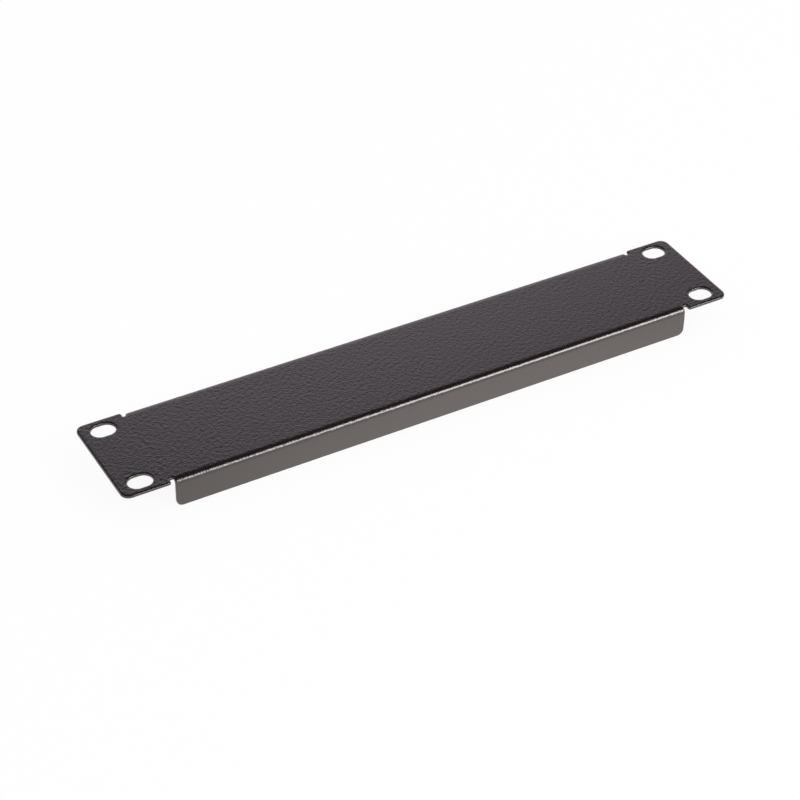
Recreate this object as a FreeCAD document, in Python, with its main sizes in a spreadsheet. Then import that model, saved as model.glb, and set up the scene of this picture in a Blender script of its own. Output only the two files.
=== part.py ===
# Blanking panel for a ten-inch rack, one unit high: one steel sheet, punched and folded.
#
# The sheet lies face up. The origin is the centre of the four screw slots on the seat plane,
# the rear face of the ears, where the panel meets the rack rails. X runs along the panel, Y
# from one flange to the other, and Z out of the face. All four quarters are alike, so one
# quarter is drawn and mirrored twice.

import FreeCAD, Part
import os
import Sketcher
from FreeCAD import Placement, Rotation, Vector

# Driving sizes in millimetres
SIZES = {
    "panel_width": 254.0,        # end to end over the ears, the ten inches of the rack
    "panel_height": 43.6,        # one unit of 44.45 less the gap to the next panel
    "sheet_thickness": 1.2,      # steel with its coat
    "fold_depth": 12.0,          # from the front face to the free edge of a flange
    "bend_radius": 0.8,          # on the inside of the fold
    "flange_radius": 2.5,        # free corners of a flange
    "ear_length": 17.95,         # from the end of the panel to the notch
    "ear_radius": 3.2,           # outer corners of an ear
    "relief_width": 1.7,         # notch between an ear and the end of the flange
    "relief_past_bend": 0.25,    # how far the notch runs into the flat of the face
    "relief_radius": 0.2,
    "slot_from_end": 8.7375,     # middle of a slot, which leaves 236.525 from ear to ear
    "slot_from_edge": 5.925,     # middle of a slot, which leaves 31.75 from row to row
    "slot_length": 9.3,
    "slot_width": 7.0,
    "edge_break": 0.2,           # every sharp edge is eased, and the coat rounds it further
}

# Two places nearer than this, in millimetres, count as the same
NEAR = 0.01

# Faces meet in a sharp edge if the cosine of the angle between their normals is under this
SHARP = 0.9

doc = FreeCAD.newDocument("blanking_panel")


def make_sheet(sizes):
    """Spreadsheet with one named cell for each driving size."""
    sheet = doc.addObject("Spreadsheet::Sheet", "sizes")
    for row, (name, value) in enumerate(sizes.items(), start=1):
        sheet.set(f"A{row}", name)
        sheet.set(f"B{row}", str(value))
        sheet.setAlias(f"B{row}", name)
    doc.recompute()
    return sheet


sheet = make_sheet(SIZES)


def size(formula):
    """Present value of a formula of the sheet's cells, in millimetres."""
    return float(sheet.evalExpression(formula))


def origin_plane(body, role):
    """One of the body's own base planes."""
    return next(plane for plane in body.Origin.OriginFeatures if plane.Role == role)


def new_sketch(body, name, role, lift=None):
    """Sketch on a base plane of the body, lifted off it by a formula if one is given."""
    sketch = body.newObject("Sketcher::SketchObject", name)
    sketch.AttachmentSupport = (origin_plane(body, role), "")
    sketch.MapMode = "FlatFace"
    if lift:
        sketch.setExpression("AttachmentOffset.Base.z", lift)
    doc.recompute()
    return sketch


def dimension(sketch, name, kind, points, formula):
    """Named dimension of a sketch that follows a formula of the sheet's cells."""
    flat = [number for point in points for number in point]
    index = sketch.addConstraint(Sketcher.Constraint(kind, *flat, size(formula)))
    sketch.renameConstraint(index, name)
    sketch.setExpression(f"Constraints.{name}", formula)


def rounded_outline(sketch, corners):
    """Closed outline of level and upright lines, walked anticlockwise.

    Each corner is (x, y, radius), with radius 0 for a sharp one. Lines and arcs are joined and
    kept tangent. Returns the number of the line after each corner, and of each corner's arc.
    """
    count = len(corners)
    points = [Vector(x, y, 0) for x, y, radius in corners]
    ways = [(points[(i + 1) % count] - points[i]).normalize() for i in range(count)]
    ends = [points[i] - ways[i - 1] * corners[i][2] for i in range(count)]
    starts = [points[i] + ways[i] * corners[i][2] for i in range(count)]

    lines = []
    for i in range(count):
        line = sketch.addGeometry(Part.LineSegment(starts[i], ends[(i + 1) % count]), False)
        level = abs(ways[i].x) > abs(ways[i].y)
        sketch.addConstraint(Sketcher.Constraint("Horizontal" if level else "Vertical", line))
        lines.append(line)

    arcs = {}
    for i, (x, y, radius) in enumerate(corners):
        before, after = lines[i - 1], lines[i]
        if radius == 0:
            sketch.addConstraint(Sketcher.Constraint("Coincident", before, 2, after, 1))
            continue
        centre = ends[i] + ways[i] * radius
        middle = centre + (points[i] - centre).normalize() * radius
        arc = sketch.addGeometry(Part.Arc(ends[i], middle, starts[i]), False)
        turns_left = ways[i - 1].cross(ways[i]).z > 0
        first, last = (1, 2) if turns_left else (2, 1)
        sketch.addConstraint(Sketcher.Constraint("Tangent", before, 2, arc, first))
        sketch.addConstraint(Sketcher.Constraint("Tangent", arc, last, after, 1))
        arcs[i] = arc
    return lines, arcs


# A sketch's own origin, as the first point of a dimension
ORIGIN = (-1, 1)

# Places that several sketches share
EAR_START = "(sizes.panel_width / 2 - sizes.ear_length)"
FLANGE_END = f"({EAR_START} - sizes.relief_width)"
BEND_START = "(sizes.panel_height / 2 - sizes.sheet_thickness - sizes.bend_radius)"
RELIEF_BOTTOM = f"({BEND_START} - sizes.relief_past_bend)"
RELIEF_CORNER = "min(sizes.relief_radius; sizes.relief_past_bend; sizes.relief_width / 3)"
SLOT_X = "(sizes.panel_width / 2 - sizes.slot_from_end)"
SLOT_Y = "(sizes.panel_height / 2 - sizes.slot_from_edge)"


def folded_section(body):
    """Half of the section across the panel: the face, the bend and the flange."""
    sketch = new_sketch(body, "folded_section", "YZ_Plane")
    half = size("sizes.panel_height / 2")
    thickness = size("sizes.sheet_thickness")
    free_edge = size("sizes.sheet_thickness - sizes.fold_depth")
    inner = size("sizes.bend_radius")
    lines, arcs = rounded_outline(sketch, [
        (0, 0, 0),
        (half - thickness, 0, inner),
        (half - thickness, free_edge, 0),
        (half, free_edge, 0),
        (half, thickness, inner + thickness),
        (0, thickness, 0),
    ])
    rear, flange_in, flange_edge, flange_out, front, middle = lines
    sketch.addConstraint(Sketcher.Constraint("Coincident", rear, 1, *ORIGIN))
    sketch.addConstraint(Sketcher.Constraint("Coincident", arcs[1], 3, arcs[4], 3))
    dimension(sketch, "half_height", "DistanceX", [ORIGIN, (flange_out, 1)],
              "sizes.panel_height / 2")
    dimension(sketch, "thickness", "DistanceX", [(flange_edge, 1), (flange_edge, 2)],
              "sizes.sheet_thickness")
    dimension(sketch, "depth", "DistanceY", [(flange_out, 1), (front, 1)],
              "sizes.fold_depth")
    dimension(sketch, "inside_radius", "Radius", [(arcs[1],)], "sizes.bend_radius")
    return sketch


def ear_outline(body):
    """Quarter of the face beyond the notches: half of one ear, with its outer corner."""
    sketch = new_sketch(body, "ear_outline", "XY_Plane")
    start = size(EAR_START)
    end = size("sizes.panel_width / 2")
    half = size("sizes.panel_height / 2")
    lines, arcs = rounded_outline(sketch, [
        (start, 0, 0),
        (end, 0, 0),
        (end, half, size("sizes.ear_radius")),
        (start, half, 0),
    ])
    bottom, outer, top, inner = lines
    sketch.addConstraint(Sketcher.Constraint("PointOnObject", bottom, 1, -1))
    dimension(sketch, "ear_length", "DistanceX", [(bottom, 1), (bottom, 2)],
              "sizes.ear_length")
    dimension(sketch, "ear_end", "DistanceX", [ORIGIN, (bottom, 2)], "sizes.panel_width / 2")
    dimension(sketch, "half_height", "DistanceY", [ORIGIN, (top, 2)], "sizes.panel_height / 2")
    dimension(sketch, "corner", "Radius", [(arcs[2],)], "sizes.ear_radius")
    return sketch


def relief_outline(body):
    """Bend-relief notch, open towards the long edge and drawn on past it by its own width."""
    sketch = new_sketch(body, "relief_outline", "XY_Plane", lift="sizes.sheet_thickness")
    start = size(FLANGE_END)
    end = size(EAR_START)
    inside = size(RELIEF_BOTTOM)
    outside = size("sizes.panel_height / 2 + sizes.relief_width")
    radius = size(RELIEF_CORNER)
    lines, arcs = rounded_outline(sketch, [
        (start, inside, radius),
        (end, inside, radius),
        (end, outside, 0),
        (start, outside, 0),
    ])
    bottom, outer, top, inner = lines
    sketch.addConstraint(Sketcher.Constraint("Equal", arcs[0], arcs[1]))
    dimension(sketch, "ear_start", "DistanceX", [ORIGIN, (top, 1)], EAR_START)
    dimension(sketch, "width", "DistanceX", [(top, 2), (top, 1)], "sizes.relief_width")
    dimension(sketch, "inside", "DistanceY", [ORIGIN, (bottom, 1)], RELIEF_BOTTOM)
    dimension(sketch, "outside", "DistanceY", [ORIGIN, (top, 2)],
              "sizes.panel_height / 2 + sizes.relief_width")
    dimension(sketch, "corner", "Radius", [(arcs[0],)], RELIEF_CORNER)
    return sketch


def slot_outline(body):
    """Screw slot with round ends, long side along the panel."""
    sketch = new_sketch(body, "slot_outline", "XY_Plane", lift="sizes.sheet_thickness")
    middle = Vector(size(SLOT_X), size(SLOT_Y), 0)
    radius = size("sizes.slot_width / 2")
    reach = Vector(size("(sizes.slot_length - sizes.slot_width) / 2"), 0, 0)
    side = Vector(0, radius, 0)
    tip = Vector(radius, 0, 0)
    left, right = middle - reach, middle + reach
    left_end = sketch.addGeometry(Part.Arc(left + side, left - tip, left - side), False)
    right_end = sketch.addGeometry(Part.Arc(right - side, right + tip, right + side), False)
    lower = sketch.addGeometry(Part.LineSegment(left - side, right - side), False)
    upper = sketch.addGeometry(Part.LineSegment(right + side, left + side), False)
    sketch.addConstraint(Sketcher.Constraint("Tangent", left_end, 2, lower, 1))
    sketch.addConstraint(Sketcher.Constraint("Tangent", lower, 2, right_end, 1))
    sketch.addConstraint(Sketcher.Constraint("Tangent", right_end, 2, upper, 1))
    sketch.addConstraint(Sketcher.Constraint("Tangent", upper, 2, left_end, 1))
    sketch.addConstraint(Sketcher.Constraint("Equal", left_end, right_end))
    sketch.addConstraint(Sketcher.Constraint("Horizontal", lower))
    dimension(sketch, "left_middle", "DistanceX", [ORIGIN, (left_end, 3)],
              f"{SLOT_X} - (sizes.slot_length - sizes.slot_width) / 2")
    dimension(sketch, "reach", "DistanceX", [(left_end, 3), (right_end, 3)],
              "sizes.slot_length - sizes.slot_width")
    dimension(sketch, "row", "DistanceY", [ORIGIN, (left_end, 3)], SLOT_Y)
    dimension(sketch, "end_radius", "Radius", [(left_end,)], "sizes.slot_width / 2")
    return sketch


def pad(body, name, sketch, length):
    """Solid drawn out of a sketch along its normal, by a formula."""
    feature = body.newObject("PartDesign::Pad", name)
    feature.Profile = sketch
    feature.setExpression("Length", length)
    doc.recompute()
    return feature


def punch(body, name, sketch):
    """Cut from the front face down through everything below it."""
    before = body.Shape.Volume
    feature = body.newObject("PartDesign::Pocket", name)
    feature.Profile = sketch
    feature.Type = "ThroughAll"
    feature.Reversed = False
    doc.recompute()
    if feature.Shape.Volume >= before:
        raise RuntimeError(f"{name} cut nothing")
    return feature


def mirror_quarters(body, features):
    """The other three quarters, mirrored across the panel's two middle planes."""
    quarters = body.newObject("PartDesign::MultiTransform", "quarters")
    quarters.Originals = features
    mirrors = []
    for name, role in (("other_long_side", "XZ_Plane"), ("other_end", "YZ_Plane")):
        mirror = body.newObject("PartDesign::Mirrored", name)
        mirror.MirrorPlane = (origin_plane(body, role), [""])
        mirrors.append(mirror)
    quarters.Transformations = mirrors
    body.Tip = quarters
    doc.recompute()
    return quarters


def edges_where(shape, wanted):
    """Names of the edges of a shape that a test picks."""
    return [f"Edge{i}" for i, edge in enumerate(shape.Edges, start=1) if wanted(shape, edge)]


def dress_edges(body, kind, name, wanted, measure, formula):
    """Fillet or chamfer on the picked edges of the body as it stands."""
    base = body.Tip
    feature = body.newObject(f"PartDesign::{kind}", name)
    feature.Base = (base, edges_where(base.Shape, wanted))
    feature.setExpression(measure, formula)
    body.Tip = feature
    doc.recompute()
    return feature


def at_flange_corner(shape, edge):
    """Short edge through the sheet at the free corner of a flange."""
    middle = edge.CenterOfMass
    at_end = abs(abs(middle.x) - size(FLANGE_END)) < NEAR
    at_edge = abs(middle.z - size("sizes.sheet_thickness - sizes.fold_depth")) < NEAR
    return at_end and at_edge


def is_sharp(shape, edge):
    """Edge where two faces meet at an angle, and don't run smoothly into each other."""
    middle = edge.valueAt((edge.FirstParameter + edge.LastParameter) / 2)
    first, second = (face.normalAt(*face.Surface.parameter(middle))
                     for face in shape.ancestorsOfType(edge, Part.Face))
    return first.dot(second) < SHARP


def make_panel():
    """The whole panel as one body."""
    body = doc.addObject("PartDesign::Body", "blanking_panel")
    body.Label = "blanking_panel"
    channel = pad(body, "channel", folded_section(body), EAR_START)
    ear = pad(body, "ear", ear_outline(body), "sizes.sheet_thickness")
    relief = punch(body, "relief", relief_outline(body))
    slot = punch(body, "slot", slot_outline(body))
    mirror_quarters(body, [channel, ear, relief, slot])
    dress_edges(body, "Fillet", "flange_corners", at_flange_corner,
                "Radius", "sizes.flange_radius")
    dress_edges(body, "Chamfer", "eased_edges", is_sharp, "Size", "sizes.edge_break")
    body.Placement = Placement(Vector(0, 0, 0), Rotation())
    doc.recompute()
    return body


def check(part):
    """Stops if any object failed, or if the part is not one valid solid."""
    for item in doc.Objects:
        if "Invalid" in item.State or "Error" in item.State:
            raise RuntimeError(f"{item.Name} failed: {item.State}")
    for sketch in doc.findObjects("Sketcher::SketchObject"):
        if not sketch.FullyConstrained:
            raise RuntimeError(f"{sketch.Name} is not fully constrained")
    if part.Shape.isNull() or not part.Shape.isValid() or len(part.Shape.Solids) != 1:
        raise RuntimeError(f"{part.Label} is not one valid solid")


panel = make_panel()
check(panel)
os.makedirs("parts", exist_ok=True)
panel.Shape.exportStep(f"parts/{panel.Label}.step")
box = panel.Shape.BoundBox
print(f"{panel.Label}: {box.XLength:.2f} x {box.YLength:.2f} x {box.ZLength:.2f} mm,",
      f"{panel.Shape.Volume:.0f} mm3, {len(panel.Shape.Faces)} faces")
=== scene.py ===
# %% [markdown]
# # A blanking panel, folded from one sheet
# The real panel starts as a flat piece of steel. A press punches its slots and notches, a brake
# folds its two long sides, and a powder coat is baked onto it. This lesson makes it in the same
# order: a flat blank, a fold, a coat, and at last a small studio to look at it in.

# %% Load the model
import bpy
import numpy as np
from mathutils import Matrix, Vector


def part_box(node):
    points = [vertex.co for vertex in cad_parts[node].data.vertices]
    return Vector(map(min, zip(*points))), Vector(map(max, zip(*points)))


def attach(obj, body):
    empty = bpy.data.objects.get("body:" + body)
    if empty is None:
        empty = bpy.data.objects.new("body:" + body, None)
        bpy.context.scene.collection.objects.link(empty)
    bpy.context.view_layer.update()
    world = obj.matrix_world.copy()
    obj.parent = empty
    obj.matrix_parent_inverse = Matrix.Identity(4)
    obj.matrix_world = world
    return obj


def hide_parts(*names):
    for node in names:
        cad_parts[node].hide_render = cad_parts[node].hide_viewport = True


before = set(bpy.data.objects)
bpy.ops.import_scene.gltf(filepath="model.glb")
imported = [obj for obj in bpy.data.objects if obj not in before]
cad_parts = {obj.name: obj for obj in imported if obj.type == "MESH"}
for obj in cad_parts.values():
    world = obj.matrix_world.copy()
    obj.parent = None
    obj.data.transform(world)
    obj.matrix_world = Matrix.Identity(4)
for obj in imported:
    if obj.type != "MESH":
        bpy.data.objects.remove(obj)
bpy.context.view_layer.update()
MM = 0.001


# %% [markdown]
# ## Sizes
# The outside of the panel is read from the CAD mesh in model.glb, so that the surface that is
# seen and the solid behind it agree. The smaller sizes are those of the drawing: how tight the
# fold is, how wide the notches and slots are. All lengths are in millimetres until the mesh is
# made.

# %% Sizes of the sheet
panel_low, panel_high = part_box("blanking_panel")
HALF_LENGTH = round(panel_high.x / MM, 3)
HALF_HEIGHT = round(panel_high.y / MM, 3)
THICKNESS = round(panel_high.z / MM, 3)
FREE_EDGE = round(panel_low.z / MM, 3)

INNER_RADIUS = 0.8
FLANGE_RADIUS = 2.5
EAR_LENGTH = 17.95
EAR_RADIUS = 3.2
NOTCH_WIDTH = 1.7
NOTCH_PAST_BEND = 0.25
NOTCH_RADIUS = 0.2
SLOT_FROM_END = 8.7375
SLOT_FROM_EDGE = 5.925
SLOT_LENGTH = 9.3
SLOT_WIDTH = 7.0

print("panel", 2 * HALF_LENGTH, "by", 2 * HALF_HEIGHT, "mm, sheet", THICKNESS,
      "mm, fold", round(THICKNESS - FREE_EDGE, 3), "mm deep")

# %% [markdown]
# ## The course of the bend
# The drawing gives the bend one radius. A brake doesn't press it like that: the sheet starts to
# curve a little before the bend line, is tightest in the middle and eases off again. So the
# turn is spread over a longer piece of the sheet, by a smooth step instead of evenly.

# %% How far the bend carries the sheet
BEND_SPREAD = 1.5
BEND_SAMPLES = 401
BEND_LENGTH = BEND_SPREAD * (INNER_RADIUS + THICKNESS / 2) * np.pi / 2
bend_share = np.linspace(0, 1, BEND_SAMPLES)
bend_angle = np.pi / 2 * bend_share ** 2 * (3 - 2 * bend_share)


def travel(rate):
    """Running sum of a rate along the bend, by the average of each pair of neighbours."""
    steps = (rate[1:] + rate[:-1]) / 2 * BEND_LENGTH / (len(rate) - 1)
    return np.concatenate([[0], np.cumsum(steps)])


bend_across = travel(np.cos(bend_angle))
bend_down = travel(np.sin(bend_angle))
print("the bend carries the sheet", bend_across[-1].round(3), "mm across and",
      bend_down[-1].round(3), "mm down")

# %% Places on the flat blank
BEND_START = HALF_HEIGHT - THICKNESS / 2 - bend_across[-1]
BEND_END = BEND_START + BEND_LENGTH
BLANK_EDGE = BEND_END + THICKNESS / 2 - bend_down[-1] - FREE_EDGE
EAR_START = HALF_LENGTH - EAR_LENGTH
FLANGE_END = EAR_START - NOTCH_WIDTH
NOTCH_BOTTOM = HALF_HEIGHT - THICKNESS - INNER_RADIUS - NOTCH_PAST_BEND
SLOT_PLACE = np.array([HALF_LENGTH - SLOT_FROM_END, HALF_HEIGHT - SLOT_FROM_EDGE])
print("the flat blank is", round(2 * BLANK_EDGE, 2), "mm wide before it is folded")

# %% [markdown]
# ## The fold
# A folded sheet could be modelled as it ends up, but then the rounded bend, the flange corners
# and the notches that cross the bend all have to be fitted by eye. It is simpler to do what
# the brake does: to make everything flat, and then send each point round the bend.


# %% Fold a point of the blank
def fold(u, v, w):
    """Place in space of points of the flat blank: u along it, v across it, w up through it.

    On the ears, and as far as the bend's start, a point stays at (u, v, w). In the bend, the
    middle of the sheet is where the two running sums have carried it, and the point stands
    off it along the sheet's normal, by w less half the thickness. What is left of v after
    the bend runs straight down the flange.
    """
    past = np.abs(v) - BEND_START
    share = np.clip(past / BEND_LENGTH, 0, 1)
    angle = np.interp(share, bend_share, bend_angle)
    off = w - THICKNESS / 2
    across = (np.minimum(np.abs(v), BEND_START) + np.interp(share, bend_share, bend_across)
              + off * np.sin(angle))
    down = np.interp(share, bend_share, bend_down) + np.maximum(past - BEND_LENGTH, 0)
    up = THICKNESS / 2 - down + off * np.cos(angle)
    on_ear = np.abs(u) > FLANGE_END + NOTCH_WIDTH / 2
    across = np.where(on_ear, np.abs(v), across)
    up = np.where(on_ear, w, up)
    return np.stack([u, np.copysign(across, v), up], axis=-1)


corner = fold(np.array([0.0]), np.array([BLANK_EDGE]), np.array([THICKNESS]))[0]
print("the blank's edge folds to", corner.round(3))

# %% [markdown]
# ## The outline
# The outline is walked as lines and arcs. Each gives its points and, for each point, the way
# out of the metal. The walk keeps a little inside the true edge, as far as the edge is rolled
# down, because a rounded rim is carried round it later.


# %% Lines and arcs
def line(start, end, count, out):
    """Points from start to end at even steps, all with the same way out."""
    along = np.linspace(0, 1, count + 1)[:, None]
    points = np.array(start) + along * (np.array(end) - np.array(start))
    return points, np.tile(np.array(out, float), (count + 1, 1))


def arc(centre, radius, first, last, count, side=1):
    """Points at even angles round a centre. The way out is along the radius, or against it
    where side is -1, as in an inside corner."""
    angle = np.radians(np.linspace(first, last, count + 1))
    spoke = np.stack([np.cos(angle), np.sin(angle)], axis=-1)
    return np.array(centre) + radius * spoke, side * spoke


def join(*pieces):
    """One walk out of several, each of which starts where the one before ends."""
    points = [pieces[0][0]] + [piece[0][1:] for piece in pieces[1:]]
    outs = [pieces[0][1]] + [piece[1][1:] for piece in pieces[1:]]
    return np.concatenate(points), np.concatenate(outs)


print("an arc of ten cells has", len(arc((0, 0), 1, 0, 90, 10)[0]), "points")

# %% The outline's main lines
ROLL_REACH = 0.72
RING_BELOW_SLOT = 5.95
flange_right = FLANGE_END - ROLL_REACH
flange_edge = BLANK_EDGE - ROLL_REACH
notch_corner = NOTCH_BOTTOM + NOTCH_RADIUS
ear_left = EAR_START + ROLL_REACH
ear_right = HALF_LENGTH - ROLL_REACH
ear_edge = HALF_HEIGHT - ROLL_REACH
ear_middle = SLOT_PLACE[1] - RING_BELOW_SLOT
print("the walk passes", round(flange_right, 2), "and", round(ear_right, 2), "mm along, and",
      round(flange_edge, 2), "mm across")

# %% Counts of cells
STEP = 0.7
FLANGE_CORNER_CELLS = 4
BEND_CELLS = 12
NOTCH_CORNER_CELLS = 5
NOTCH_FLOOR_CELLS = 3
EAR_INSIDE_CELLS = 4
EAR_CORNER_CELLS = 10
SHARP_CORNER_CELLS = 4


def cells(length):
    """Number of cells of about one step in a length."""
    return max(1, int(round(length / STEP)))


columns = cells(flange_right)
low_rows = cells(ear_middle)
high_rows = cells(notch_corner - ear_middle)
flange_rows = cells(flange_edge - BEND_END)
print("columns", columns, "rows", low_rows, high_rows, "and down the flange", flange_rows)

# %% Walk round the flange and its bend
corner_radius = FLANGE_RADIUS - ROLL_REACH
corner_middle = (flange_right - corner_radius, flange_edge - corner_radius)

free_edge = join(
    line((0, flange_edge), (corner_middle[0], flange_edge),
         columns - FLANGE_CORNER_CELLS, (0, 1)),
    arc(corner_middle, corner_radius, 90, 45, FLANGE_CORNER_CELLS))
flange_side = join(
    arc(corner_middle, corner_radius, 45, 0, FLANGE_CORNER_CELLS),
    line((flange_right, corner_middle[1]), (flange_right, BEND_END),
         flange_rows - FLANGE_CORNER_CELLS, (1, 0)))
bend_side = line((flange_right, BEND_END), (flange_right, notch_corner), BEND_CELLS, (1, 0))
print("points of the free edge:", len(free_edge[0]), "and of the side:", len(flange_side[0]))

# %% Walk round the notch
notch_radius = NOTCH_RADIUS + ROLL_REACH
notch_floor = notch_corner - notch_radius
notch_left = FLANGE_END + NOTCH_RADIUS
notch_right = EAR_START - NOTCH_RADIUS
notch = join(
    arc((notch_left, notch_corner), notch_radius, 180, 270, NOTCH_CORNER_CELLS, side=-1),
    line((notch_left, notch_floor), (notch_right, notch_floor), NOTCH_FLOOR_CELLS, (0, 1)),
    arc((notch_right, notch_corner), notch_radius, 270, 360, NOTCH_CORNER_CELLS, side=-1))
print("points of the notch:", len(notch[0]))

# %% Walk round the ear, and join the walks
SHARP_RADIUS = 0.05
ear_corner = EAR_RADIUS - ROLL_REACH
ear_inside = line((ear_left, notch_corner), (ear_left, ear_edge - SHARP_RADIUS),
                  EAR_INSIDE_CELLS, (-1, 0))
ear_top = join(
    arc((ear_left + SHARP_RADIUS, ear_edge - SHARP_RADIUS), SHARP_RADIUS, 180, 90,
        SHARP_CORNER_CELLS),
    line((ear_left + SHARP_RADIUS, ear_edge), (ear_right - ear_corner, ear_edge),
         cells(ear_right - ear_corner - ear_left), (0, 1)),
    arc((ear_right - ear_corner, ear_edge - ear_corner), ear_corner, 90, 0,
        EAR_CORNER_CELLS))
ear_end = line((ear_right, ear_edge - ear_corner), (ear_right, ear_middle),
               cells(ear_edge - ear_corner - ear_middle), (1, 0))
ear_low_end = line((ear_right, ear_middle), (ear_right, 0), low_rows, (1, 0))

edge_walk = join(free_edge, flange_side, bend_side, notch, ear_inside, ear_top,
                 ear_end, ear_low_end)
print("outline of a quarter:", len(edge_walk[0]), "points")

# %% [markdown]
# ## The face, laid as patches
# A flat face with holes could be cut out with a boolean, which leaves long thin triangles. The
# coat's grain is to be part of the mesh, and it needs even cells. So the blank is laid out in
# patches, each a grid between four edges, and round a slot the grid runs in rings.


# %% Grid between four edges
def patch(bottom, top, left, right):
    """Grid of points between four edges.

    It is the even blend from bottom to top, plus the even blend from left to right, less the
    blend of the four corners, which the two have both counted.
    """
    s = np.linspace(0, 1, len(bottom))[None, :, None]
    t = np.linspace(0, 1, len(left))[:, None, None]
    rising = (1 - t) * bottom[None] + t * top[None]
    crossing = (1 - s) * left[:, None] + s * right[:, None]
    corners = ((1 - s) * (1 - t) * bottom[0] + s * (1 - t) * bottom[-1]
               + (1 - s) * t * top[0] + s * t * top[-1])
    return rising + crossing - corners


def straight(start, end, count):
    """Points of a plain line, for an edge that two patches share."""
    return line(start, end, count, (0, 0))[0]


def shifted(points, x):
    """The same points moved along the panel."""
    return points + np.array([x, 0])


def lifted(points, y):
    """The same points moved across the panel."""
    return points + np.array([0, y])


up_middle = np.concatenate([straight((0, 0), (0, ear_middle), low_rows),
                            straight((0, ear_middle), (0, notch_corner), high_rows)[1:]])
along_face = straight((0, 0), (flange_right, 0), columns)
print("points up the middle:", len(up_middle), "and along the face:", len(along_face))

# %% Patches of the face, the bend and the flange
face_patch = patch(along_face, lifted(along_face, notch_corner),
                   up_middle, shifted(up_middle, flange_right))
bend_patch = patch(lifted(along_face, notch_corner), lifted(along_face, BEND_END),
                   straight((0, notch_corner), (0, BEND_END), BEND_CELLS),
                   bend_side[0][::-1])
flange_patch = patch(lifted(along_face, BEND_END), free_edge[0],
                     straight((0, BEND_END), (0, flange_edge), flange_rows),
                     flange_side[0][::-1])
print("cells of the long face:", face_patch.shape[:2])

# %% Patches below the notch and below the slot
along_bridge = straight((flange_right, 0), (ear_left, 0), len(notch[0]) - 1)
bridge_patch = patch(along_bridge, notch[0], shifted(up_middle, flange_right),
                     shifted(up_middle, ear_left))
along_ear = straight((ear_left, 0), (ear_right, 0), cells(ear_right - ear_left))
ear_patch = patch(along_ear, lifted(along_ear, ear_middle),
                  shifted(up_middle[:low_rows + 1], ear_left), ear_low_end[0][::-1])
print("cells below the notch:", bridge_patch.shape[:2], "and the slot:", ear_patch.shape[:2])


# %% Edge of a slot
TINY = 1e-9


def slot_edge(points):
    """Where the rays from the slot's middle to the points cross its edge, and the way out.

    The slot is a straight length with a half circle at each end. A ray that leaves through
    a straight side crosses it at the half width. Any other crosses an end circle, at the
    larger root of the circle's equation.
    """
    away = points - SLOT_PLACE
    ray = away / np.linalg.norm(away, axis=1)[:, None]
    radius = SLOT_WIDTH / 2 + ROLL_REACH
    half = (SLOT_LENGTH - SLOT_WIDTH) / 2
    c, s = np.abs(ray[:, 0]), np.abs(ray[:, 1])
    through_side = c * radius <= half * s
    reach = np.where(through_side, radius / np.maximum(s, TINY),
                     half * c + np.sqrt(np.maximum(radius ** 2 - (half * s) ** 2, 0)))
    edge = reach[:, None] * ray
    centre = np.stack([np.clip(edge[:, 0], -half, half), 0 * s], axis=-1)
    return SLOT_PLACE + edge, (centre - edge) / radius


# %% Rings round a slot
RING_CELLS = 9
ring_outside = np.concatenate([
    lifted(along_ear, ear_middle),
    ear_end[0][::-1][1:],
    ear_top[0][::-1][1:],
    ear_inside[0][::-1][1:],
    shifted(up_middle[low_rows:], ear_left)[::-1][1:],
])
ring_inside, slot_out = slot_edge(ring_outside)
ring_blend = np.linspace(0, 1, RING_CELLS + 1)[None, :, None]
ring_patch = (1 - ring_blend) * ring_inside[:, None] + ring_blend * ring_outside[:, None]
print("cells round a slot:", ring_patch.shape[:2])

# %% [markdown]
# ## The rim
# A punch drags the front of the sheet down with it before it cuts, so each punched edge slopes
# off over nearly a millimetre, and the powder flows over it as it bakes. At the back the cut
# leaves the edge nearly square. The rim is one profile, a long turn down, a straight side and a
# tight turn in, carried along the outline and round each slot. It is what gives the edges
# their dark line and, below it, their bright one.


# %% Carry a profile along an edge
ROLL_DEPTH = 0.4
BACK_ROUNDING = 0.2
SOFT, CRISP = 2, 5
TURN_CELLS = 6


def turn(roundness):
    """Quarter turn from straight up to straight out, at each of several roundnesses.

    The sum of the two coordinates, each raised to the roundness, is one: 2 gives a circle,
    and a higher number a tighter corner inside the same square. Both run from 0 to 1.
    """
    angle = np.linspace(0, np.pi / 2, TURN_CELLS + 1)[:, None]
    return np.sin(angle) ** (2 / roundness), np.cos(angle) ** (2 / roundness)


def rim(walk, roundness):
    """Grid of (u, v, w) round an edge, from the front skin over the rim to the back skin.

    Each row is the whole walk, moved out of the metal by one reach and set at one height. The
    front corner's roundness is given for each point of the walk. The back corner is crisp.
    """
    points, outs = walk
    out, up = turn(roundness)
    crisp_out, crisp_up = turn(np.full(len(points), CRISP))
    reach = ROLL_REACH * np.concatenate([out, crisp_out[::-1]])
    height = np.concatenate([THICKNESS - ROLL_DEPTH * (1 - up),
                             BACK_ROUNDING * (1 - crisp_up[::-1])])
    flat = points[None] + reach[..., None] * outs[None]
    return np.concatenate([flat, height[..., None]], axis=-1)


on_flange = np.clip((edge_walk[0][:, 1] - BEND_END) / FLANGE_RADIUS, 0, 1)
outer_rim = rim(edge_walk, SOFT + (CRISP - SOFT) * on_flange)
slot_rim = rim((ring_inside, slot_out), np.full(len(ring_inside), SOFT))
print("rim cells:", outer_rim.shape[:2], slot_rim.shape[:2])

# %% [markdown]
# ## One closed blank
# The front patches, the rims and the same patches at the back make a quarter of the blank. The
# panel is alike on both sides and at both ends, so the quarter is mirrored three times. Points
# that fall on each other are then merged, and each edge should be shared by two faces.


# %% Put the grids together
def with_height(grid, w):
    """A flat grid of (u, v) at one height in the sheet."""
    return np.concatenate([grid, np.full(grid.shape[:2] + (1,), w)], axis=-1)


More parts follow.
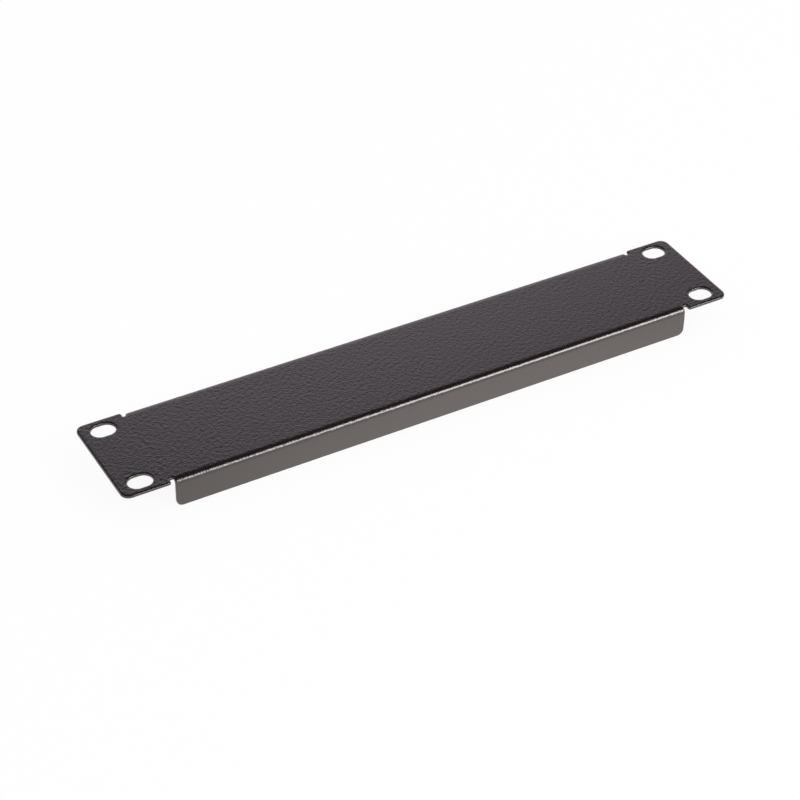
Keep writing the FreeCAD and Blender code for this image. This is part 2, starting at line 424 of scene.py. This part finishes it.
def quads(grid, first):
    """The faces of a grid whose points are numbered row by row from first."""
    number = first + np.arange(grid.shape[0] * grid.shape[1]).reshape(grid.shape[:2])
    corners = [number[:-1, :-1], number[:-1, 1:], number[1:, 1:], number[1:, :-1]]
    return np.stack(corners, axis=-1).reshape(-1, 4)


flat_patches = [face_patch, bend_patch, flange_patch, bridge_patch, ear_patch, ring_patch]
grids = [with_height(p, THICKNESS) for p in flat_patches] + [outer_rim, slot_rim]
grids += [with_height(p, 0.0)[:, ::-1] for p in flat_patches]
starts = np.cumsum([0] + [g.shape[0] * g.shape[1] for g in grids])
quarter_points = np.concatenate([g.reshape(-1, 3) for g in grids])
quarter_faces = np.concatenate([quads(g, s) for g, s in zip(grids, starts)])
print("a quarter of the blank:", len(quarter_points), "points,", len(quarter_faces), "faces")

# %% Mirror the quarter and merge its seams
MERGE_DECIMALS = 5
blank_points, blank_faces = [], []
for along, across in ((1, 1), (-1, 1), (-1, -1), (1, -1)):
    turned = quarter_faces if along * across > 0 else quarter_faces[:, ::-1]
    blank_faces.append(turned + len(quarter_points) * len(blank_points))
    blank_points.append(quarter_points * np.array([along, across, 1]))
blank_points = np.round(np.concatenate(blank_points), MERGE_DECIMALS) + 0.0
blank, index = np.unique(blank_points, axis=0, return_inverse=True)
faces = index.reshape(-1)[np.concatenate(blank_faces)]
edges = np.sort(np.stack([faces, np.roll(faces, -1, axis=1)], axis=-1).reshape(-1, 2), axis=1)
edge_uses = np.unique(edges, axis=0, return_counts=True)[1]
print("the blank:", len(blank), "points,", len(faces), "faces, edges not shared by two:",
      int((edge_uses != 2).sum()))

# %% [markdown]
# ## The grain
# The coat is a leathery one: the powder is made to draw together as it melts, into low bumps
# a millimetre or two apart with hollows between them. A bump map would give the shine of it,
# but not the shape, so the larger part of the relief is cut into the mesh, by lowering the
# surface in the hollows. The bumps' tops stay where the plain sheet was. Where the powder lies
# thicker, at the left end and over the right half, it flows out smoother, and the grain fades.


# %% Random waves
def waves(u, v, wavelength, spread, count, rng):
    """Sum of many straight waves in all directions, scaled to a spread of one.

    Each is the cosine of how far a point lies along the wave's own direction, times the
    turns that its wavelength makes in a millimetre, plus a phase.
    """
    angle = rng.uniform(0, 2 * np.pi, count)
    turns = 2 * np.pi / (wavelength * rng.uniform(1 - spread, 1 + spread, count))
    phase = rng.uniform(0, 2 * np.pi, count)
    total = np.zeros_like(u)
    for a, k, p in zip(angle, turns, phase):
        total += np.cos(k * (np.cos(a) * u + np.sin(a) * v) + p)
    return total * np.sqrt(2 / count)


WAVELENGTH = 2.3
WAVELENGTH_SPREAD = 0.25
WAVE_COUNT = 120
WAVE_DEPTH = 0.22


def relief(u, v, rng):
    """Depth below the bumps' tops, from 0 to 1: one for a deep hollow.

    Half, plus the wave depth times a field of waves, kept within 0 and 1.
    """
    field = waves(u, v, WAVELENGTH, WAVELENGTH_SPREAD, WAVE_COUNT, rng)
    return np.clip(0.5 + WAVE_DEPTH * field, 0, 1)


# %% Cut the grain
GRAIN_SEED = 7
GRAIN_DEPTH = 0.062
FLOW_PLACES = (-HALF_LENGTH, -75, -35, 20)
FLOW_SHARES = (0.74, 1, 0.93, 0.7)
u, v, w = blank.T
front = np.clip((w - THICKNESS) / ROLL_DEPTH + 1, 0, 1)
back = np.clip(1 - w / BACK_ROUNDING, 0, 1)
depth = relief(u, v, np.random.default_rng(GRAIN_SEED))
grain_share = np.interp(u, FLOW_PLACES, FLOW_SHARES)
grain = GRAIN_DEPTH * depth * grain_share
w = w + grain * (back - front)
print("grain up to", round(float(grain.max()), 3), "mm deep, mean",
      round(float(grain.mean()), 3))

# %% [markdown]
# ## The skin
# Only now is the blank folded, grain and all, and made a mesh. Each point also keeps how deep
# in a hollow it lies, and how strong the grain is there, for the coat's material to read.

# %% Fold it and make the mesh
mesh = bpy.data.meshes.new("panel_skin")
mesh.from_pydata((fold(u, v, w) * MM).tolist(), [], faces.tolist())
mesh.polygons.foreach_set("use_smooth", np.ones(len(mesh.polygons), bool))
for name, values in (("hollow", depth), ("grain_share", grain_share)):
    attribute = mesh.attributes.new(name, "FLOAT", "POINT")
    attribute.data.foreach_set("value", values.astype(np.float32))
mesh.update()
panel = bpy.data.objects.new("panel_skin", mesh)
bpy.context.scene.collection.objects.link(panel)
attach(panel, "root")
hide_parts("blanking_panel")
print("panel skin:", 2 * len(faces), "triangles")

# %% [markdown]
# ## The powder coat
# One material does it: a black plastic skin on steel. It is dark and gives back little of
# the light that falls on it, so nearly all that is seen of it is what it mirrors. The coat
# is a little rougher in the hollows, and a fine bump adds what is too small for the mesh.


# %% Shader nodes in one line
def add_node(tree, kind, inputs, **settings):
    """New shader node. Each input is a plain value or the output of another node."""
    node = tree.nodes.new("ShaderNode" + kind)
    for name, value in settings.items():
        setattr(node, name, value)
    for socket, value in inputs.items():
        if isinstance(value, bpy.types.NodeSocket):
            tree.links.new(value, node.inputs[socket])
        else:
            node.inputs[socket].default_value = value
    return node


# %% Powder coat material
COAT_BLACK = (0.0078, 0.007, 0.007, 1)
COAT_IOR = 2.2
COAT_ROUGHNESS = (0.21, 0.26)
FINE_GRAIN = {"Scale": 1350, "Detail": 1, "Distortion": 0.4}
FINE_HEIGHT = 0.000083

coat = bpy.data.materials.new("black_powder_coat")
coat.use_nodes = True
tree = coat.node_tree
coat_place = add_node(tree, "TexCoord", {}).outputs["Object"]
fine = add_node(tree, "TexNoise", {"Vector": coat_place, **FINE_GRAIN})
strength = add_node(tree, "Attribute", {}, attribute_name="grain_share")
bump = add_node(tree, "Bump", {"Height": fine.outputs["Fac"], "Distance": FINE_HEIGHT,
                               "Strength": strength.outputs["Fac"]})
hollow = add_node(tree, "Attribute", {}, attribute_name="hollow")
rough = add_node(tree, "MapRange", {"Value": hollow.outputs["Fac"],
                                    "To Min": COAT_ROUGHNESS[0], "To Max": COAT_ROUGHNESS[1]})
shader = tree.nodes["Principled BSDF"]
shader.inputs["Base Color"].default_value = COAT_BLACK
shader.inputs["IOR"].default_value = COAT_IOR
tree.links.new(rough.outputs["Result"], shader.inputs["Roughness"])
tree.links.new(bump.outputs["Normal"], shader.inputs["Normal"])
mesh.materials.append(coat)
print("material:", coat.name)

# %% [markdown]
# ## The studio
# Black shows the room rather than the light. The face mirrors a pale backdrop behind the panel
# that fades to dark upward, the bend first mirrors that dark and then a softbox low in front,
# and the flange mirrors the floor. So the room is white only to the camera, and reflections
# are given the backdrop instead. The floor can be seen through from below, because the hollow
# side of the panel is worth a look too.


# %% Sums and sweeps in shader nodes
def reckon(tree, operation, first, second):
    """One sum of two values, each a number or the output of another node."""
    return add_node(tree, "Math", {0: first, 1: second}, operation=operation).outputs[0]


def largest(tree, first, *others):
    """The largest of several values."""
    for other in others:
        first = reckon(tree, "MAXIMUM", first, other)
    return first


def smooth_sweep(tree, value, start, end, before, after):
    """Runs smoothly from one level to another as a value passes two marks."""
    sweep = add_node(tree, "MapRange", {"Value": value, "From Min": start, "From Max": end,
                                        "To Min": before, "To Max": after},
                     interpolation_type="SMOOTHSTEP")
    return sweep.outputs["Result"]


def blend(tree, share, first, second):
    """The first shader where the share is 0, the second where it is 1."""
    return add_node(tree, "MixShader", {0: share, 1: first, 2: second}).outputs[0]


# %% Floor
FLOOR_HALF = 6.0
FLOOR_CORNERS = ((-1, -1), (1, -1), (1, 1), (-1, 1))
floor_height = panel_low.z
floor_mesh = bpy.data.meshes.new("floor")
floor_mesh.from_pydata([(x * FLOOR_HALF, y * FLOOR_HALF, floor_height)
                        for x, y in FLOOR_CORNERS], [], [(0, 1, 2, 3)])
floor = bpy.data.objects.new("floor", floor_mesh)
bpy.context.scene.collection.objects.link(floor)
print("floor at", round(floor_height / MM, 2), "mm")

# %% [markdown]
# ## White paper
# To the camera the paper glows plain white. In reflections it glows most in a long spot at the
# foot of the near flange, and less farther out, in a warm tint: that spot is a painted pool of
# light, a painted reflection for the flange. A small part of what is seen of it stays matte,
# which keeps the panel's shadow. To all other rays it is matte paper and nothing else.

# %% The paper's glow, with a painted pool of light in reflections
WHITE = (1, 1, 1, 1)
PAPER_MATTE = (0.9, 0.9, 0.9, 1)
# The warm tint of a painted reflection: the paper shows it in reflections alone.
PAINTED_REFLECTION_TINT = (1, 0.9, 0.86, 1)
GLOW_SHARE = 0.93
# A painted pool of light, seen in reflections only: its middle, its stretch, its two marks and
# the glow levels at them.
PAINTED_POOL_PLACE = (-0.006, 0.02, 0)
PAINTED_POOL_SCALE = (0.2, 1, 0)
PAINTED_POOL_MARKS = (0.005, 0.05)
PAINTED_POOL_LEVELS = (1.02, 0.56)

paper = bpy.data.materials.new("white_paper_with_painted_reflection")
paper.use_nodes = True
tree = paper.node_tree
tree.nodes.clear()
path = add_node(tree, "LightPath", {}).outputs
floor_place = add_node(tree, "TexCoord", {}).outputs["Object"]
painted_pool_point = add_node(tree, "Mapping", {"Vector": floor_place, "Location": PAINTED_POOL_PLACE,
                                  "Scale": PAINTED_POOL_SCALE}).outputs["Vector"]
from_painted_pool = add_node(tree, "VectorMath", {0: painted_pool_point}, operation="LENGTH").outputs["Value"]
painted_pool_level = smooth_sweep(tree, from_painted_pool, *PAINTED_POOL_MARKS, *PAINTED_POOL_LEVELS)
# Painted reflection: to glossy rays the paper glows in the warm tint, brightest in the painted
# pool.
painted_reflection = add_node(tree, "Emission", {"Color": PAINTED_REFLECTION_TINT, "Strength": painted_pool_level})
in_view = add_node(tree, "Emission", {"Color": WHITE})
glow_with_painted_reflection = blend(tree, path["Is Glossy Ray"], in_view.outputs[0], painted_reflection.outputs[0])
print("paper glows in reflections at", PAINTED_POOL_LEVELS)

# %% Paper seen from above, and from below
matte = add_node(tree, "BsdfDiffuse", {"Color": PAPER_MATTE})
clear = add_node(tree, "BsdfTransparent", {})
geometry = add_node(tree, "NewGeometry", {})
seen = largest(tree, path["Is Camera Ray"], path["Is Glossy Ray"],
               path["Is Transmission Ray"])
from_above = blend(tree, reckon(tree, "MULTIPLY", seen, GLOW_SHARE), matte.outputs[0], glow_with_painted_reflection)
one_way = blend(tree, geometry.outputs["Backfacing"], from_above, clear.outputs[0])
add_node(tree, "OutputMaterial", {"Surface": one_way})
floor_mesh.materials.append(paper)
print("material:", paper.name)

# %% [markdown]
# ## The backdrop
# The backdrop is seen in reflections alone. Its level goes by how high a ray points: from pale
# to dark between two marks. Its upper edge is bowed, like a sheet of card that hangs lower at
# the sides: away from the middle the height counts as more, by the bow times the square of the
# distance, up to a limit.

# %% Backdrop
BACKDROP_COLOUR = (1, 0.88, 0.99, 1)
BACKDROP_MIDDLE = 0.325
BACKDROP_BOW = 2.0
BACKDROP_BOW_LIMIT = 0.13
BACKDROP_MARKS = (0.565, 0.70)
BACKDROP_LEVELS = (0.80, 0.0)

world = bpy.data.worlds.new("white_room")
bpy.context.scene.world = world
world.use_nodes = True
tree = world.node_tree
tree.nodes.clear()
direction = add_node(tree, "TexCoord", {}).outputs["Generated"]
ray = add_node(tree, "SeparateXYZ", {0: direction}).outputs
aside = reckon(tree, "SUBTRACT", ray["X"], BACKDROP_MIDDLE)
bow = reckon(tree, "MULTIPLY", reckon(tree, "MULTIPLY", aside, aside), BACKDROP_BOW)
bow = reckon(tree, "MINIMUM", bow, BACKDROP_BOW_LIMIT)
ray_height = reckon(tree, "ADD", ray["Z"], bow)
backdrop_level = smooth_sweep(tree, ray_height, *BACKDROP_MARKS, *BACKDROP_LEVELS)
backdrop = add_node(tree, "Background", {"Color": BACKDROP_COLOUR,
                                         "Strength": backdrop_level})
print("backdrop fades from", BACKDROP_LEVELS[0], "to", BACKDROP_LEVELS[1])

# %% Room
ROOM_LIGHT = 0.85
path = add_node(tree, "LightPath", {}).outputs
white = add_node(tree, "Background", {"Color": WHITE})
room = add_node(tree, "Background", {"Color": WHITE, "Strength": ROOM_LIGHT})
reflected = largest(tree, path["Is Glossy Ray"], path["Is Transmission Ray"])
light = blend(tree, reflected, room.outputs[0], backdrop.outputs[0])
surface = blend(tree, path["Is Camera Ray"], light, white.outputs[0])
add_node(tree, "OutputWorld", {"Surface": surface})
print("world:", world.name)

# %% [markdown]
# ## The softbox
# A softbox is a lamp behind a cloth front, and an area lamp gives the same soft edge. It is
# large enough for the bend to mirror as one bright line, and small enough to stay out of the
# flat face when the panel is looked at from behind.

# %% Softbox
SOFTBOX_COLOUR = (1, 0.95, 0.92)


def soft_lamp(name, azimuth, elevation, distance, width, height, power):
    """Soft lamp that looks at the panel from a heading and a height, both in degrees."""
    a, e = np.radians(azimuth), np.radians(elevation)
    away = Vector((np.sin(a) * np.cos(e), -np.cos(a) * np.cos(e), np.sin(e)))
    data = bpy.data.lights.new(name, "AREA")
    data.shape = "RECTANGLE"
    data.size = width
    data.size_y = height
    data.energy = power
    data.color = SOFTBOX_COLOUR
    lamp = bpy.data.objects.new(name, data)
    lamp.location = away * distance
    lamp.rotation_mode = "QUATERNION"
    lamp.rotation_quaternion = away.to_track_quat("Z", "Y")
    bpy.context.scene.collection.objects.link(lamp)
    return lamp


softbox = soft_lamp("front_softbox", azimuth=33, elevation=32, distance=1.6,
                    width=0.85, height=0.72, power=10)
print("softbox at", [round(c, 2) for c in softbox.location], "m")

# %% [markdown]
# ## The camera
# The panel is seen through a long lens, from above its left end. The place and the angles were
# fitted until its corners and slots fell where the photograph has them. The camera's turn is
# built from its way forward and its way to the right, with a little roll.

# %% Camera
LENS = 101.55
SENSOR_WIDTH = 36
NEAREST, FARTHEST = 0.01, 50
CAMERA_PLACE = Vector((-0.33976, -0.57389, 0.50767))
HEADING, TILT, ROLL = np.radians([30.194, 38.277, 1.257])
forward = Vector((np.sin(HEADING) * np.cos(TILT), np.cos(HEADING) * np.cos(TILT),
                  -np.sin(TILT)))
level_right = Vector((np.cos(HEADING), -np.sin(HEADING), 0))
level_up = level_right.cross(forward)
camera_right = level_right * np.cos(ROLL) + level_up * np.sin(ROLL)
camera_up = camera_right.cross(forward)
camera_data = bpy.data.cameras.new("camera")
camera_data.lens = LENS
camera_data.sensor_width = SENSOR_WIDTH
camera_data.clip_start = NEAREST
camera_data.clip_end = FARTHEST
camera = bpy.data.objects.new("camera", camera_data)
facing = Matrix((camera_right, camera_up, -forward)).transposed()
camera.matrix_world = Matrix.Translation(CAMERA_PLACE) @ facing.to_4x4()
bpy.context.scene.collection.objects.link(camera)
bpy.context.scene.camera = camera
bpy.context.scene.view_settings.view_transform = "Standard"
print("camera at", [round(c, 3) for c in CAMERA_PLACE])
